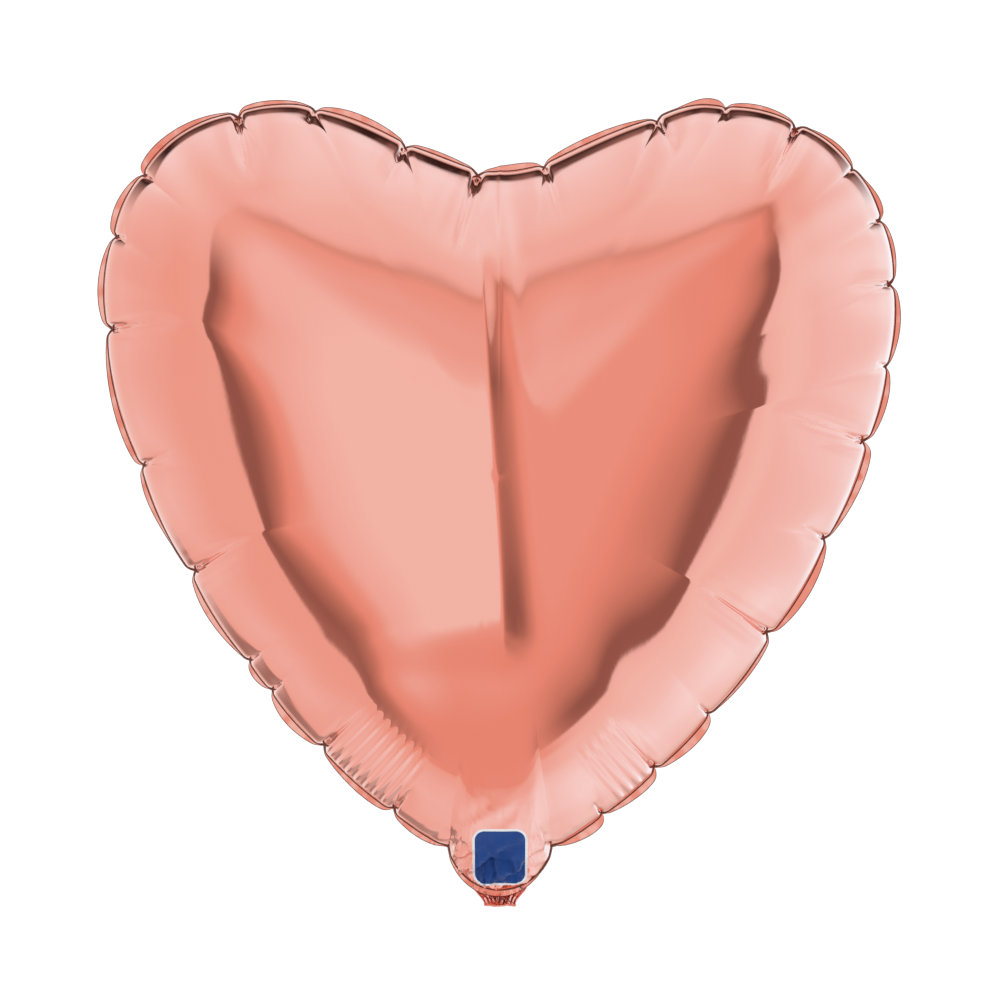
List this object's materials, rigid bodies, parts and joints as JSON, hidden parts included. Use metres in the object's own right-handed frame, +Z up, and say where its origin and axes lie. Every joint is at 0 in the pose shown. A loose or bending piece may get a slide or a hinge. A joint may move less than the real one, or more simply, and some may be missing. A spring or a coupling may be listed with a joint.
{
  "type": "heart-shaped foil balloon",
  "caption": "Inflated heart-shaped foil balloon with a puckered welded rim, a self-sealing inner valve and a flat filling tail folded behind its neck.",
  "frame": {"origin": "middle of the fold under the neck flap, on the tail's hinge line, where a ribbon is tied", "axes": "+X to the viewer's right seen from the front, -Y out of the front panel, +Z up from the neck to the lobes; the seam lies in the plane Y = 0"},
  "size_m": [0.3809, 0.1899, 0.3817],
  "materials": {
    "front_foil": "metallised rose gold film, mirror gloss",
    "back_foil": "metallised rose gold film, mirror gloss",
    "rim_foil": "welded metallised film, crinkled gloss",
    "tail_foil": "metallised rose gold film, gloss",
    "valve_film": "clear polyethylene film"
  },
  "bodies": {
    "balloon": {"front_panel": "front_foil", "back_panel": "back_foil", "seal_band": "rim_foil", "valve_front_film": "valve_film", "valve_back_film": "valve_film"},
    "tail": {"tail_front_ply": "tail_foil", "tail_back_ply": "tail_foil", "tail_valve_film": "valve_film"}
  },
  "joints": [
    {"name": "tail_fold", "type": "hinge", "parent": "balloon", "child": "tail", "pos_m": [0, 0, 0], "axis": [-1, 0, 0], "range_deg": [0, 248]}
  ]
}
